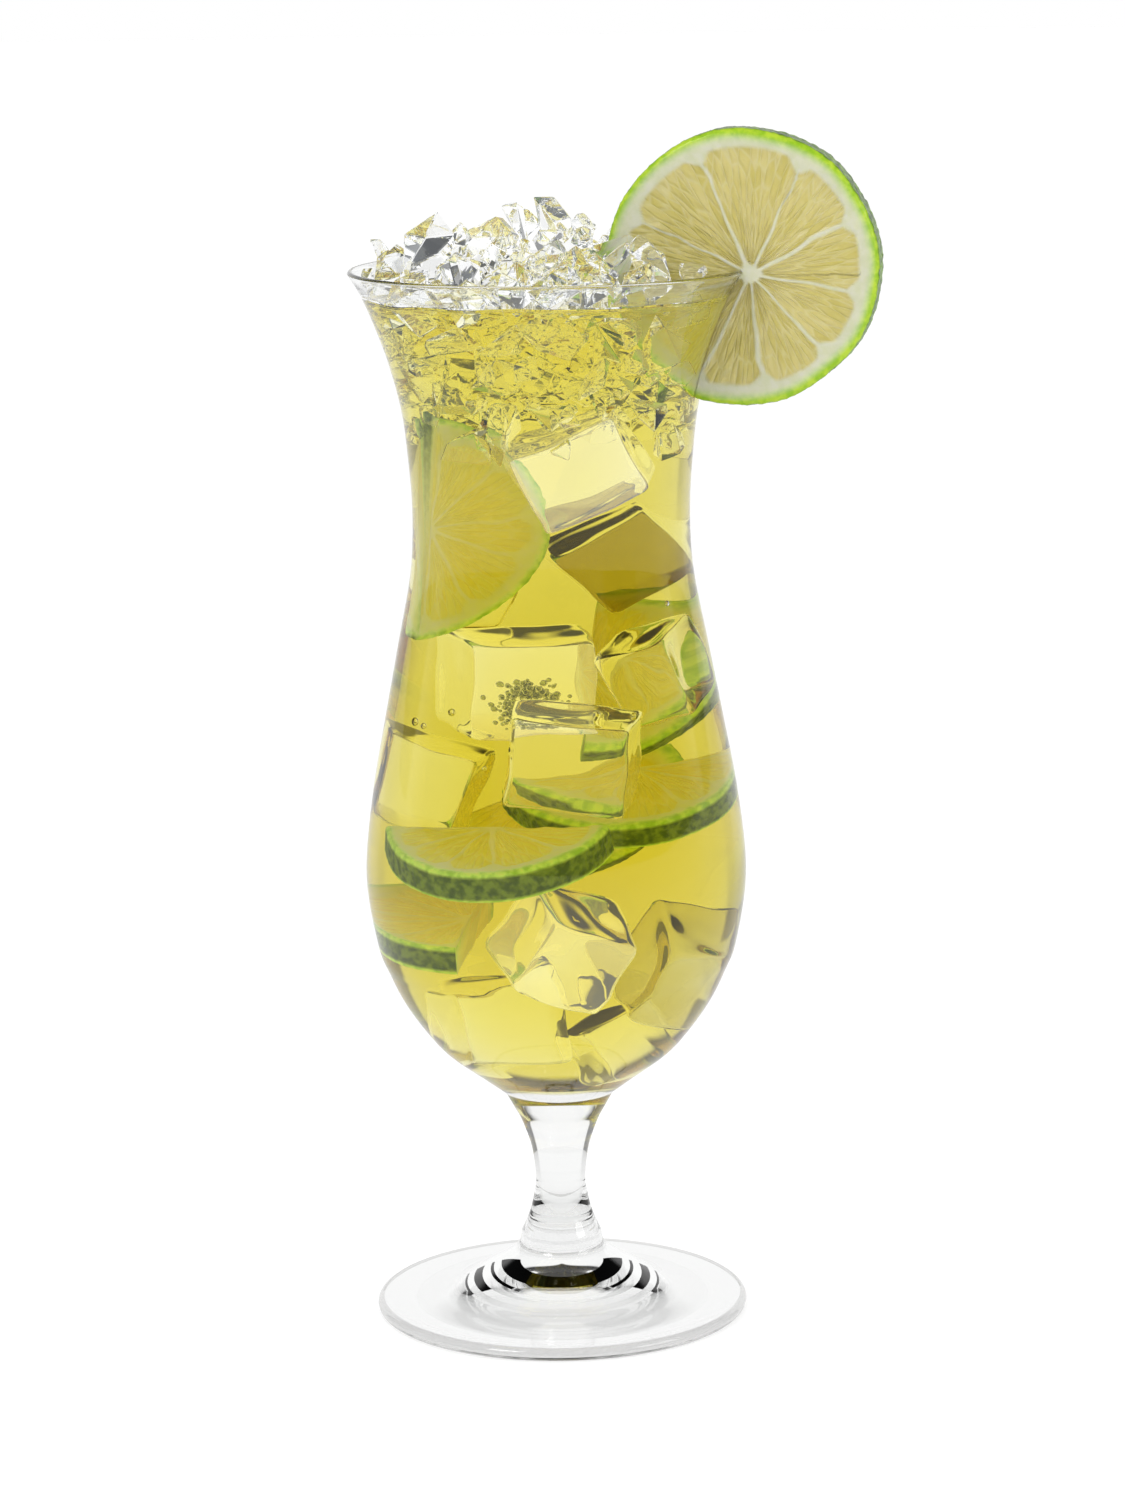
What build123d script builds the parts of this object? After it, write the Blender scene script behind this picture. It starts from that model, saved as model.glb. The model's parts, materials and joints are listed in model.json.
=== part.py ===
from build123d import *
import math
import os
import random

from scipy.spatial import Voronoi

# A hurricane glass served with a lime drink: a footed, pinch-waisted glass, the liquid in it,
# ice cubes and lime slices in the liquid, a cap of crushed ice, and a lime wheel on the rim.
# Millimetres, +Z up, the glass axis on Z, the foot standing on Z = 0, the viewer on -Y.

# Driving dimensions of the glass
glass_height = 215.0
rim_radius = 39.9
waist_radius = 27.9
bulge_radius = 38.7
bowl_seat_radius = 11.2
rim_wall = 1.2
waist_wall = 1.5
bulge_wall = 1.6

# Levels above the table, as shares of the glass height
waist_level_share = 0.7767
bulge_level_share = 0.4279
bowl_floor_share = 0.227
bowl_seat_share = 0.214
stem_waist_share = 0.1279
foot_seat_share = 0.0744
drink_level_share = 0.8884

# Stem and foot
stem_radius = 5.1
foot_seat_radius = 8.2
foot_radius = 38.2
foot_edge = 2.6
foot_hollow_radius = 30.0
foot_hollow_depth = 6.0

# Drink and ice: a cube is sized from the bulge, a grain from the depth of the crushed ice
wet_gap = 0.1
cube_side_share = 0.4651
cube_rounding_share = 0.1444
grain_gap = 0.3
grain_wall_gap = 1.0
grain_pitch_share = 0.4
layer_rise_share = 0.9
heap_rise_share = 0.885
heap_reach_share = 0.55
sky_spacing_share = 0.55
cap_unevenness_share = 0.16
heap_unevenness_share = 0.3
least_grain_share = 0.068

# Limes: a slice in the drink is sized from the bulge
lime_radius = 27.4
lime_thickness = 8.0
slice_radius_share = 0.5297
slice_thickness_share = 0.2683
peel_thickness = 0.9
pith_thickness = 2.1
membrane = 0.8
core_radius = 2.2
segments_in_a_lime = 10

# Lime wheel on the rim
wheel_turn = -11.0
slit_reach_share = 0.75
slit_gap = 0.45
lift_travel = 30.0

# Heights and sizes that follow from the ones above
waist_height = glass_height * waist_level_share
bulge_height = glass_height * bulge_level_share
bowl_floor_height = glass_height * bowl_floor_share
bowl_seat_height = glass_height * bowl_seat_share
stem_waist_height = glass_height * stem_waist_share
foot_seat_height = glass_height * foot_seat_share
drink_level = glass_height * drink_level_share
cube_side = bulge_radius * cube_side_share
cube_rounding = cube_side * cube_rounding_share
slice_radius = bulge_radius * slice_radius_share
slice_thickness = slice_radius * slice_thickness_share
grain_pitch = (glass_height - drink_level) * grain_pitch_share
layer_rise = grain_pitch * layer_rise_share
heap_height = grain_pitch * heap_rise_share
least_grain = grain_pitch**3 * least_grain_share

# Outlines: each share pair is how far across and how far up between two named levels
shoulder_shares = [(0.194, 0.087), (0.43, 0.196), (0.592, 0.304)]
shoulder_shares += [(0.743, 0.435), (0.846, 0.565), (0.927, 0.696)]
neck_shares = [(0.142, 0.213), (0.404, 0.427), (0.699, 0.64), (0.945, 0.83)]
flare_shares = [(0.072, 0.274), (0.169, 0.443), (0.37, 0.638), (0.603, 0.8), (0.81, 0.92)]
well_shares = [(0.337, 0.058), (0.523, 0.15), (0.66, 0.26), (0.787, 0.398), (0.876, 0.537), (0.946, 0.69)]
stem_top_shares = [(0.73, 0.84), (0.46, 0.67), (0.14, 0.36)]
stem_foot_shares = [(0.12, 0.29), (0.43, 0.64)]
foot_cone_shares = [(0.017, 0.82), (0.059, 0.71), (0.167, 0.545), (0.32, 0.358)]
foot_cone_shares += [(0.446, 0.18), (0.585, 0.082), (0.794, 0.03)]
hollow_shares = [(0.25, 0.92), (0.45, 0.66), (0.62, 0.28), (0.8, 0.08)]

# Ice cubes: across, towards the back and up as shares of the bulge radius and the glass height,
# then the turns about X, Y and Z in degrees, then the three sides as shares of the cube side
ice_cube_shares = {
    "ice_cube_top_front": ((0.116, -0.284, 0.8247), (12, -24, 6), (1.2, 1.06, 1.0)),
    "ice_cube_waist_back": ((0.253, 0.225, 0.7256), (16, -32, 16), (0.97, 0.86, 0.97)),
    "ice_cube_centre": ((-0.129, 0.026, 0.6084), (5, 1, 12), (1.2, 1.0, 1.12)),
    "ice_cube_left": ((-0.540, 0.018, 0.5144), (4, 16, -20), (1.0, 1.0, 1.0)),
    "ice_cube_middle_front": ((0.078, -0.496, 0.5549), (8, 5, -5), (1.3, 0.9, 1.05)),
    "ice_cube_right": ((0.447, -0.078, 0.6209), (14, -22, -14), (0.86, 0.8, 0.95)),
    "ice_cube_lower_front": ((0.026, -0.349, 0.3791), (18, 30, 18), (1.0, 0.94, 0.94)),
    "ice_cube_lower_right": ((0.504, -0.026, 0.3512), (25, 34, 24), (0.94, 0.94, 1.0)),
    "ice_cube_lower_left": ((-0.212, 0.039, 0.3070), (0, -6, 10), (1.0, 0.94, 0.89)),
    "ice_cube_bottom": ((0.227, 0.142, 0.2902), (10, -24, 30), (0.69, 0.67, 0.67)),
    "ice_cube_back": ((-0.351, 0.344, 0.6884), (20, 12, 30), (0.78, 0.72, 0.78)),
}

# Half slices: place as above, then the way the cut face looks and the way the peel's middle points,
# then radius and thickness as shares of a slice's
lime_slice_shares = {
    "lime_slice_upper": ((-0.584, -0.129, 0.7647), (0.42, -1, -0.05), (1, 0.42, -0.12), (1.17, 1.09)),
    "lime_slice_lower_left": ((-0.264, -0.297, 0.4712), (-0.13, -0.27, 1), (-0.25, -1, -0.3), (1.03, 1.18)),
    "lime_slice_lower_right": ((0.297, 0.220, 0.5070), (-0.04, -0.42, 1), (0.28, -1, -0.4), (1.0, 1.0)),
    "lime_slice_right_back": ((0.119, 0.346, 0.6000), (0.12, -0.85, 0.5), (1, 0.1, -0.1), (0.88, 1.0)),
    "lime_slice_left_back": ((-0.047, 0.481, 0.4907), (0.25, -0.85, 0.5), (0.2, 0.4, -1), (0.88, 1.0)),
    "lime_slice_bottom": ((-0.323, 0.155, 0.3781), (-0.05, -0.12, 1), (-1, 0.25, 0), (1.0, 1.0)),
}


def stretch(low, high, shares):
    """The points between two (radius, height) points, at these shares of the way."""
    width, rise = high[0] - low[0], high[1] - low[1]
    return [(low[0] + width * across, low[1] + rise * up) for across, up in shares]


def inside_outline(gap):
    """The bowl's inner outline from its floor to its lip, drawn in by a gap."""
    floor = (0, bowl_floor_height + gap)
    bulge = (bulge_radius - bulge_wall - gap, bulge_height)
    waist = (waist_radius - waist_wall - gap, waist_height)
    lip = (rim_radius - rim_wall - gap, glass_height - rim_wall / 2)
    points = [floor, *stretch(floor, bulge, well_shares), bulge]
    points += [*stretch(bulge, waist, neck_shares), waist]
    return points + [*stretch(waist, lip, flare_shares), lip]


def outside_outline():
    """The bowl's outer outline from the stem to the lip."""
    seat = (bowl_seat_radius, bowl_seat_height)
    bulge = (bulge_radius, bulge_height)
    waist = (waist_radius, waist_height)
    lip = (rim_radius, glass_height - rim_wall / 2)
    points = [seat, *stretch(seat, bulge, shoulder_shares), bulge]
    points += [*stretch(bulge, waist, neck_shares), waist]
    return points + [*stretch(waist, lip, flare_shares), lip]


def radius_at(outline, height):
    """The outline's radius at a height, straight between its points."""
    for (low_radius, low), (high_radius, high) in zip(outline, outline[1:]):
        if low <= height <= high:
            return low_radius + (high_radius - low_radius) * (height - low) / (high - low)
    return outline[-1][0]


def place(across_share, back_share, up_share):
    """A point inside the bowl from its shares of the bulge radius and the glass height."""
    return Vector(across_share * bulge_radius, back_share * bulge_radius, up_share * glass_height)


def save(solid, name):
    """Label a finished piece and write it to its own file."""
    solid.label = name
    export_step(solid, f"parts/{name}.step")


os.makedirs("parts", exist_ok=True)
outer = outside_outline()
inner = inside_outline(0)
wet = inside_outline(wet_gap)

# The wall leans out at the rim, and the wheel's slit leans with it
lip_radius = rim_radius - rim_wall / 2
slit_depth = lime_radius * slit_reach_share
lean = math.atan2(rim_radius - radius_at(outer, glass_height - slit_depth), slit_depth)
along = (math.sin(lean), math.cos(lean))

# Blown wall, thick at its floor and thin at its rounded lip
with BuildPart() as wall:
    with BuildSketch(Plane.XZ):
        with BuildLine():
            Spline(outer)
            ThreePointArc(outer[-1], (lip_radius, glass_height), inner[-1])
            Spline(inner, tangents=[(1, 0), along])
            Polyline(inner[0], (0, bowl_seat_height), outer[0])
        make_face()
    revolve(axis=Axis.Z)

# The wall in two nodes that meet at the waist, the bowl below and the flare above
with BuildPart() as bowl:
    add(wall.part)
    split(bisect_by=Plane.XY.offset(waist_height), keep=Keep.BOTTOM)
save(bowl.part, "bowl")
with BuildPart() as flare:
    add(wall.part)
    split(bisect_by=Plane.XY.offset(waist_height), keep=Keep.TOP)
save(flare.part, "flare")

# Stem: solid glass, drawn in between the bowl and the foot
seat = (bowl_seat_radius, bowl_seat_height)
stem_waist = (stem_radius, stem_waist_height)
foot_seat = (foot_seat_radius, foot_seat_height)
stem_outline = [seat, *stretch(stem_waist, seat, stem_top_shares), stem_waist]
stem_outline += [*stretch(stem_waist, foot_seat, stem_foot_shares), foot_seat]
with BuildPart() as stem:
    with BuildSketch(Plane.XZ):
        with BuildLine():
            Spline(stem_outline)
            Polyline(foot_seat, (0, foot_seat_height), (0, bowl_seat_height), seat)
        make_face()
    revolve(axis=Axis.Z)
save(stem.part, "stem")

# Foot: a disc that swells to the stem, hollowed a little underneath so that it stands on a ring
edge_top = (foot_radius - foot_edge / 2, foot_edge)
cone = stretch((foot_seat[0], edge_top[1]), (edge_top[0], foot_seat[1]), foot_cone_shares)
hollow_top = (0, foot_hollow_depth)
hollow = [(foot_hollow_radius * across, foot_hollow_depth * up) for across, up in hollow_shares]
with BuildPart() as foot:
    with BuildSketch(Plane.XZ):
        with BuildLine():
            Spline([foot_seat, *cone, edge_top])
            ThreePointArc(edge_top, (foot_radius, foot_edge / 2), (foot_radius - foot_edge / 2, 0))
            Line((foot_radius - foot_edge / 2, 0), (foot_hollow_radius, 0))
            Spline([(foot_hollow_radius, 0), *reversed(hollow), hollow_top])
            Polyline(hollow_top, (0, foot_seat_height), foot_seat)
        make_face()
    revolve(axis=Axis.Z)
save(foot.part, "foot")

# Ice cubes, each with the slightly larger room that it takes up in the drink
rooms = []
for name, (where_shares, turn, side_shares) in ice_cube_shares.items():
    spot = Location(place(*where_shares), turn)
    sides = [cube_side * share for share in side_shares]
    with BuildPart() as ice_cube:
        with Locations(spot):
            Box(*sides)
        fillet(ice_cube.edges(), cube_rounding)
    save(ice_cube.part, name)
    with BuildPart() as room:
        with Locations(spot):
            Box(*[side + 2 * wet_gap for side in sides])
    rooms.append(room.part)


def cut_lime(plane, radius, thickness, half, slit=None):
    """Peel, pith and pulp of a lime slice centred on a plane: a whole wheel, or the half towards its +Y."""
    pulp_radius = radius - peel_thickness - pith_thickness
    step = 360 / segments_in_a_lime
    turns = [step * (k + 0.5) for k in range(segments_in_a_lime // (2 if half else 1))]
    with BuildSketch(plane) as disc:
        Circle(radius)
        if half:
            with Locations((0, -radius)):
                Rectangle(2 * radius, 2 * radius, mode=Mode.SUBTRACT)
        if slit:
            with BuildLine():
                Polyline(*slit, close=True)
            make_face(mode=Mode.SUBTRACT)
    with BuildSketch(plane) as flesh:
        Circle(radius - peel_thickness)
    with BuildSketch(plane) as wedges:
        for turn in turns:
            reach = radius / math.cos(math.radians(step / 2))
            start = Vector(core_radius + membrane, 0).rotate(Axis.Z, turn)
            sides = [start + Vector(reach, 0).rotate(Axis.Z, turn + side * (step / 2)) for side in (-1, 1)]
            with BuildLine():
                Polyline(start, *sides, close=True)
            make_face()
        Circle(pulp_radius, mode=Mode.INTERSECT)
        offset(amount=-membrane / 2)
    with BuildPart() as peel:
        extrude(disc.sketch, amount=thickness / 2, both=True)
        extrude(flesh.sketch, amount=thickness, both=True, mode=Mode.SUBTRACT)
    with BuildPart() as pulp:
        extrude(wedges.sketch, amount=thickness / 2, both=True)
        if slit:
            extrude(disc.sketch, amount=thickness, both=True, mode=Mode.INTERSECT)
    with BuildPart() as pith:
        extrude(disc.sketch, amount=thickness / 2, both=True)
        extrude(flesh.sketch, amount=thickness, both=True, mode=Mode.INTERSECT)
        extrude(wedges.sketch, amount=thickness, both=True, mode=Mode.SUBTRACT)
    return {"peel": peel.part, "pith": pith.part, "pulp": pulp.part}


# Lime slices in the drink, each with its room
for name, (where_shares, face_way, peel_way, size_shares) in lime_slice_shares.items():
    normal = Vector(*face_way).normalized()
    up = Vector(*peel_way)
    up = (up - normal * up.dot(normal)).normalized()
    plane = Plane(origin=place(*where_shares), x_dir=up.cross(normal), z_dir=normal)
    radius = slice_radius * size_shares[0]
    thickness = slice_thickness * size_shares[1]
    for layer, solid in cut_lime(plane, radius, thickness, half=True).items():
        save(solid, f"{name}_{layer}")
    with BuildPart() as room:
        with BuildSketch(plane):
            Circle(radius + wet_gap)
            with Locations((0, -radius - wet_gap)):
                Rectangle(4 * radius, 2 * radius, mode=Mode.SUBTRACT)
        extrude(amount=thickness / 2 + wet_gap, both=True)
    rooms.append(room.part)

# Lime wheel: it stands on the rim, which enters a slit from its middle to its peel
turn = math.radians(wheel_turn)
outward = Vector(math.cos(turn), math.sin(turn), 0)
wheel_centre = outward * lip_radius + Vector(0, 0, glass_height + slit_gap)
wheel_plane = Plane(origin=wheel_centre, x_dir=outward, z_dir=outward.cross(Vector(0, 0, 1)))
lean_in_degrees = math.degrees(lean)


def in_wheel(radius, height):
    """How far down the slit and how far outward from its middle line a point of the wall lies."""
    across = radius - lip_radius
    up = height - glass_height - slit_gap
    return -(across * along[0] + up * along[1]), across * along[1] - up * along[0]


def slit_side(outline, widest, sign):
    """One side of the slit: as wide at each depth as every stretch of wall that passes there."""
    side = []
    reach = in_wheel(*outline[-1])[1] + sign * slit_gap
    for radius, height in reversed(outline):
        down, across = in_wheel(radius, height)
        reach = widest(reach, across + sign * slit_gap)
        if down < 2 * lime_radius and height > waist_height:
            side.append((max(down, 0), reach))
    side[0] = (0, side[0][1])
    corners = []
    for down, across in side:
        corners.append((across * along[1] - down * along[0], -down * along[1] - across * along[0]))
    return corners


wheel_slit = slit_side(outer, max, 1) + list(reversed(slit_side(inner, min, -1)))
for layer, solid in cut_lime(wheel_plane, lime_radius, lime_thickness, half=False, slit=wheel_slit).items():
    save(solid, f"lime_wheel_{layer}")

# Room that the wheel sweeps as it lifts off, kept clear of ice and drink
with BuildPart() as wheel_room:
    with BuildSketch(wheel_plane):
        Circle(lime_radius + slit_gap)
        with Locations((lift_travel * along[0], lift_travel * along[1])):
            Circle(lime_radius + slit_gap)
        halfway = (lift_travel / 2 * along[0], lift_travel / 2 * along[1])
        with Locations(Location(halfway, -lean_in_degrees)):
            Rectangle(2 * (lime_radius + slit_gap), lift_travel)
    extrude(amount=lime_thickness / 2 + slit_gap, both=True)

# Drink: the liquid that fills the bowl up to the crushed ice, round the cubes and slices
with BuildPart() as drink:
    with BuildSketch(Plane.XZ):
        with BuildLine():
            Spline(wet, tangents=[(1, 0), along])
            Polyline(wet[-1], (0, wet[-1][1]), wet[0])
        make_face()
    revolve(axis=Axis.Z)
    split(bisect_by=Plane.XY.offset(drink_level), keep=Keep.BOTTOM)
    add([*rooms, wheel_room.part], mode=Mode.SUBTRACT)
save(drink.part, "drink")

# Crushed ice: a packed cap of angular grains, each the space nearest to its own middle
rng = random.Random(5)
cap_layers = ["crushed_ice_lower", "crushed_ice_middle", "crushed_ice_rim"]


def ring_points(height, reach, spacing, unevenness):
    """Grain middles on rings about the axis, out to a reach, a little uneven."""
    rings = max(1, round(reach / spacing))
    points = [Vector(0, 0, height)]
    for ring in range(1, rings + 1):
        radius = reach * ring / rings
        count = round(2 * math.pi * radius / spacing)
        start = rng.uniform(0, 2 * math.pi)
        for k in range(count):
            angle = start + 2 * math.pi * (k + rng.uniform(-unevenness, unevenness)) / count
            lift = rng.uniform(-unevenness, unevenness) * spacing
            points.append(Vector(radius * math.cos(angle), radius * math.sin(angle), height + lift))
    return points


def beyond_wall(point):
    """The point's mirror image in the bowl's wall, so that its grain ends at the wall."""
    height = min(point.Z, inner[-1][1])
    below = radius_at(inner, height - grain_pitch / 2)
    slope = math.atan2(radius_at(inner, height) - below, grain_pitch / 2)
    radius = math.hypot(point.X, point.Y)
    reach = (radius_at(inner, point.Z) - grain_wall_gap - radius) * math.cos(slope)
    outward = Vector(point.X, point.Y, 0).normalized() * math.cos(slope) - Vector(0, 0, math.sin(slope))
    return point + outward * (2 * reach)


def heap_top(point, height):
    """How high the heap of ice stands over a point."""
    share = min(1, math.hypot(point.X, point.Y) / rim_radius)
    return glass_height + height * (1 - share**2)


layers = {}
edges_beyond = []
for k, name in enumerate(cap_layers):
    height = drink_level + layer_rise * (k + 0.5)
    reach = radius_at(inner, height) - grain_wall_gap - grain_pitch / 2
    layers[name] = ring_points(height, reach, grain_pitch, cap_unevenness_share)
    outer_points = [point for point in layers[name] if math.hypot(point.X, point.Y) > reach / 2]
    edges_beyond += [beyond_wall(point) for point in outer_points]
edges_beyond += [Vector(point.X, point.Y, 2 * drink_level - point.Z) for point in layers[cap_layers[0]]]
heap_level = drink_level + layer_rise * (len(cap_layers) + 0.5)
heap_reach = rim_radius * heap_reach_share
layers["crushed_ice_heap"] = ring_points(heap_level, heap_reach, grain_pitch, heap_unevenness_share)
sky_spacing = grain_pitch * sky_spacing_share
for point in ring_points(0, rim_radius + grain_pitch, sky_spacing, heap_unevenness_share):
    edges_beyond.append(Vector(point.X, point.Y, heap_top(point, heap_height) + grain_pitch / 2 + point.Z))

middles = [point for points in layers.values() for point in points]
cells = Voronoi([tuple(point) for point in middles + edges_beyond])
shrink = 1 - grain_gap / grain_pitch
first = 0
for name, points in layers.items():
    grains = []
    for number, middle in enumerate(points, start=first):
        corners = [Vector(*cells.vertices[k]) for k in cells.regions[cells.point_region[number]]]
        with BuildPart() as grain:
            ConvexPolyhedron([middle + (corner - middle) * shrink for corner in corners])
            if abs((middle - wheel_centre).dot(wheel_plane.z_dir)) < grain_pitch + lime_thickness / 2:
                add(wheel_room.part, mode=Mode.SUBTRACT)
        grains += [solid for solid in grain.solids() if solid.volume > least_grain]
    first += len(points)
    print(name, len(points), len(grains))
    save(Compound(grains), name)
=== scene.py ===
import itertools
import json
import math
import random

import bmesh
import bpy
from mathutils import Matrix, Vector, noise


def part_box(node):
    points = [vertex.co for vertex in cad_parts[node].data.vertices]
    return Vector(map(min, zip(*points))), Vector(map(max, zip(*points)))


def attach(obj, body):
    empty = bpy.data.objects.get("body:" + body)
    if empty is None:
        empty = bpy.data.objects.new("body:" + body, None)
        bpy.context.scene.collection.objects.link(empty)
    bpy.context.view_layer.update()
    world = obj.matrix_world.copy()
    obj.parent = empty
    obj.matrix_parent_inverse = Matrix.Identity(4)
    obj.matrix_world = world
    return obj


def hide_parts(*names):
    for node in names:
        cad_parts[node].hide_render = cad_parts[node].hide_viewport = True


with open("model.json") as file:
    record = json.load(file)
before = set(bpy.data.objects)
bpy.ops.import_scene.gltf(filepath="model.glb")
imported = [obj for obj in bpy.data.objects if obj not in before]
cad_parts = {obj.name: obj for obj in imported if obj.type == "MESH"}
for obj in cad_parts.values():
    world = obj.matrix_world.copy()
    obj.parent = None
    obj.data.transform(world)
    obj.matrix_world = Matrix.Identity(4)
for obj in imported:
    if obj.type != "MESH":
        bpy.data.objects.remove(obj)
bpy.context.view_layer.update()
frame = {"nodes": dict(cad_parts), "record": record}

# A hurricane glass served with a lime drink, in metres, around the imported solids.
# The glass is one piece of clear glass. The drink, ice and limes lie where the solids lie.

MM = 0.001
GLASS_BODY = "served_glass"
WHEEL_BODY = "lime_wheel"
SEED = 11

# Glass outline: radius and height in millimetres, as the solids have them
OUTSIDE = [
    (11.2, 46.0), (16.5, 50.0), (23.1, 55.0), (27.5, 60.0), (31.6, 66.0), (34.5, 72.0), (36.7, 78.0),
    (38.7, 92.0), (37.2, 108.0), (34.3, 124.0), (31.2, 140.0), (28.5, 154.3), (27.9, 167.0),
    (28.8, 180.0), (29.9, 188.0), (32.3, 197.2), (35.1, 204.9), (37.6, 210.6), (39.9, 214.4),
]
INSIDE = [
    (0.0, 48.8), (12.5, 51.3), (19.4, 55.3), (24.5, 60.0), (29.2, 66.0), (32.5, 72.0), (35.1, 78.6),
    (37.1, 92.0), (35.6, 108.0), (32.8, 124.0), (29.6, 140.0), (27.0, 154.3), (26.4, 167.0),
    (27.3, 180.0), (28.5, 188.0), (31.0, 197.2), (33.8, 204.9), (36.4, 210.6), (38.7, 214.4),
]
STEM = [
    (11.2, 46.0), (9.55, 43.0), (7.9, 39.9), (5.95, 34.2), (5.1, 27.5), (5.47, 24.2), (6.43, 20.1),
    (8.2, 16.0),
]
FOOT_TOP = [
    (8.2, 16.0), (8.7, 13.6), (9.9, 12.1), (13.0, 9.9), (17.4, 7.4), (21.0, 5.0), (25.0, 3.7),
    (31.0, 3.0), (36.9, 2.6),
]
FOOT_HOLLOW = [(30.0, 0.0), (24.0, 0.5), (18.6, 1.7), (13.5, 4.0), (7.5, 5.5), (0.0, 6.0)]
RIM_ROUND = 0.6
FOOT_ROUND = 1.3
GLASS_TURNS = 160

# Bands of the foot's hollow that mirror no light back, by radius in millimetres, and how far they
# reach behind the middle as a share of the radius: painted shade for the dark room mirrored in the foot
SHADE_RINGS = ((6.5, 10.8), (12.4, 13.3), (14.9, 16.3), (17.8, 18.5))
SHADE_REACH = 0.3

# How far outside the foot's top outline its greyer edge starts, in millimetres; the grey is painted shade
# for dark lines along the rim
FOOT_EDGE = 0.2

# The glass mesh's finishes, in the order of its material slots: the last two paint shade, as dark hollow
# rings and a grey foot edge
IN_AIR, WETTED, SHADED, EDGE = range(4)

# The drink in millimetres: its height at the wall, and where its surface dips, inward and down
DRINK_TOP = 210.4
DRINK_DIPS = ((0.5, 0.35), (2.0, 0.6))
DRINK_OFF_WALL = 0.02
RIPPLED_DEPTH = 1.2
SURFACE_DEPTH = 0.8
DRINK_COLOUR = (0.925, 0.868, 0.10, 1)
DRINK_DENSITY = 55.0

# In metres: the height of the ripples on the drink, and the gap round a cube in it
DRINK_RIPPLE = 0.0007
HOLLOW_GAP = 0.00004

# Refractive indices: those of ice in the drink are relative to the drink
GLASS_IOR = 1.5
DRINK_IOR = 1.34
ICE_IN_DRINK_IOR = 0.88
GRAIN_IN_DRINK_IOR = 0.87
ICE_IN_AIR_IOR = 1.31

WHITE = (1, 1, 1, 1)
CLEAR = (1.0, 1.0, 1.0)
GLASS_TINT = (0.99, 0.995, 0.99)

# How near vertices lie, in metres, that are merged: in spun outlines, in limes and in the solids' meshes
OUTLINE_WELD = 0.00001
LIME_WELD = 0.000005
CAD_WELD = 0.000002

# Lime colours: in the air, and in the drink, whose own colour is laid over them and which are made brighter
# as painted light
DRY_LIME = {
    "flesh": ((0.76, 0.66, 0.20), (0.90, 0.80, 0.38)), "skin": (0.92, 0.87, 0.56),
    "pith": ((0.84, 0.87, 0.64), (0.92, 0.93, 0.78)),
    "rind": ((0.035, 0.10, 0.004), (0.18, 0.36, 0.012)), "cut": ((0.30, 0.56, 0.012), (0.52, 0.72, 0.04)),
}
WET_LIME_TINTED_AND_LIT = {
    "flesh": ((0.98, 0.86, 0.13), (1.0, 0.95, 0.30)), "skin": (1.0, 0.97, 0.60),
    "pith": ((0.94, 0.97, 0.50), (0.98, 0.98, 0.72)),
    "rind": ((0.055, 0.095, 0.006), (0.17, 0.24, 0.02)), "cut": ((0.34, 0.56, 0.04), (0.62, 0.80, 0.12)),
}

# How much a lime in the drink glows, as painted light, and the colour of light that comes through any lime
PAINTED_GLOW_IN_DRINK = 0.42
LIME_THROUGH = (0.94, 0.87, 0.34, 1)

# Sizes of the limes' patterns, as texture scales
SAC_STREAKS = 1.3
LIME_CLOUDS = 130.0
LIME_MOTTLE = 620.0
PEEL_GLANDS = 900.0
TINT_GRAIN = 260.0

# A Mix node's colour sockets: its two inputs and its output
MIX_FIRST, MIX_SECOND, MIX_RESULT = 6, 7, 2


def add_node(tree, kind, inputs=None, output=0, **settings):
    """A node by its type, its settings, which are set first, and its sockets' values or links."""
    node = tree.nodes.new(kind)
    for key, value in settings.items():
        setattr(node, key, value)
    for key, value in (inputs or {}).items():
        if isinstance(value, Value):
            tree.links.new(value.socket, node.inputs[key])
        else:
            node.inputs[key].default_value = value
    return Value(tree, node.outputs[output]) if len(node.outputs) else None


# Shader maths: an expression on sockets adds its Math nodes
class Value:
    def __init__(self, tree, socket):
        self.tree = tree
        self.socket = socket

    def math(self, operation, *others):
        return add_node(self.tree, "ShaderNodeMath", dict(enumerate((self, *others))), operation=operation)

    def __add__(self, other):
        return self.math("ADD", other)

    def __sub__(self, other):
        return self.math("SUBTRACT", other)

    def __mul__(self, other):
        return self.math("MULTIPLY", other)

    def __rsub__(self, other):
        return self.math("MULTIPLY", -1.0).math("ADD", other)

    __radd__ = __add__
    __rmul__ = __mul__

    def step(self, low, high):
        """0 below low, 1 above high, smooth between."""
        sockets = {"Value": self, "From Min": low, "From Max": high}
        return add_node(self.tree, "ShaderNodeMapRange", sockets, "Result", interpolation_type="SMOOTHSTEP")


class Shader:
    """One node tree, with short calls for its nodes."""

    def __init__(self, tree):
        self.tree = tree
        tree.nodes.clear()

    def node(self, kind, inputs=None, output=0, **settings):
        return add_node(self.tree, kind, inputs, output, **settings)

    def mix(self, factor, first, second):
        """A colour between two colours."""
        first, second = ((*value, 1) if isinstance(value, tuple) else value for value in (first, second))
        sockets = {0: factor, MIX_FIRST: first, MIX_SECOND: second}
        return self.node("ShaderNodeMix", sockets, MIX_RESULT, data_type="RGBA")

    def attribute(self, name):
        return self.node("ShaderNodeAttribute", output="Fac", attribute_name=name)

    def finish(self, surface, volume=None, kind="ShaderNodeOutputMaterial"):
        self.node(kind, {"Surface": surface, "Volume": volume} if volume else {"Surface": surface})


def new_material(name):
    material = bpy.data.materials.new(name)
    material.use_nodes = True
    return material, Shader(material.node_tree)


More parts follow.
